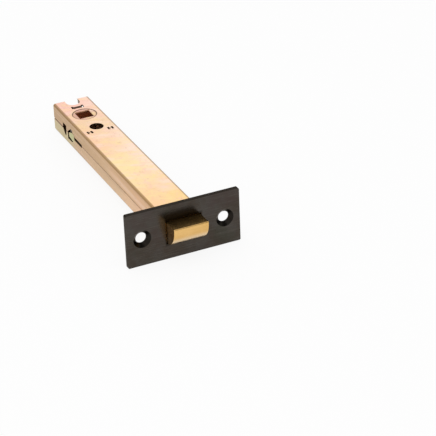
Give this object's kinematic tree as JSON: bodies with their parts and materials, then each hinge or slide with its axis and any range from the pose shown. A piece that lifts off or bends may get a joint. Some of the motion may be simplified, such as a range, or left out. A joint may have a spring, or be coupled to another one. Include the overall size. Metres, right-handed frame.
{
  "type": "tubular door latch",
  "caption": "Tubular mortice latch: slim folded case with a square spindle hub, dark screw-on forend and sprung brass bolt with a rounded bevel.",
  "frame": {"origin": "middle of the forend's back face, where it lies on the door's edge", "axes": "+X out of the door's edge along the bolt's throw, +Y along the forend's long side, +Z along the spindle"},
  "size_m": [0.1618, 0.062, 0.0296],
  "materials": {
    "dark_bronze": "satin dark bronze plating",
    "passivated_zinc": "cloudy yellow passivated zinc",
    "hub_metal": "passivated zinc",
    "plain_steel": "plain steel",
    "spring_steel": "drawn spring wire",
    "bolt_brass": "satin brass"
  },
  "bodies": {
    "case": {"forend": "dark_bronze", "upper_case_shell": "passivated_zinc", "lower_case_shell": "passivated_zinc", "spring_bulkhead": "passivated_zinc", "rear_bulkhead": "passivated_zinc", "return_spring": "spring_steel"},
    "hub": {"spindle_hub": "hub_metal"},
    "retractor": {"retractor_yoke": "plain_steel", "bolt_spring": "spring_steel"},
    "bolt": {"latch_bolt": "bolt_brass", "bolt_tail": "plain_steel", "tail_washer": "plain_steel", "tail_pin": "plain_steel"}
  },
  "joints": [
    {"name": "spindle_turn", "type": "hinge", "parent": "case", "child": "hub", "pos_m": [-0.1289, 0, 0], "axis": [0, 0, 1], "range_deg": [0, 67.6]},
    {"name": "retractor_slide", "type": "slide", "parent": "case", "child": "retractor", "axis": [-1, 0, 0], "range_m": [0, 0.0098], "stiffness_N_per_m": 600, "springref_m": -0.01, "deforming": ["return_spring"]},
    {"name": "bolt_push", "type": "slide", "parent": "retractor", "child": "bolt", "axis": [-1, 0, 0], "range_m": [0, 0.0098], "stiffness_N_per_m": 300, "springref_m": -0.008, "deforming": ["bolt_spring"]}
  ],
  "couplings": [
    {"joint": "spindle_turn", "follows": "retractor_slide", "rad_per_m": 120.35}
  ]
}
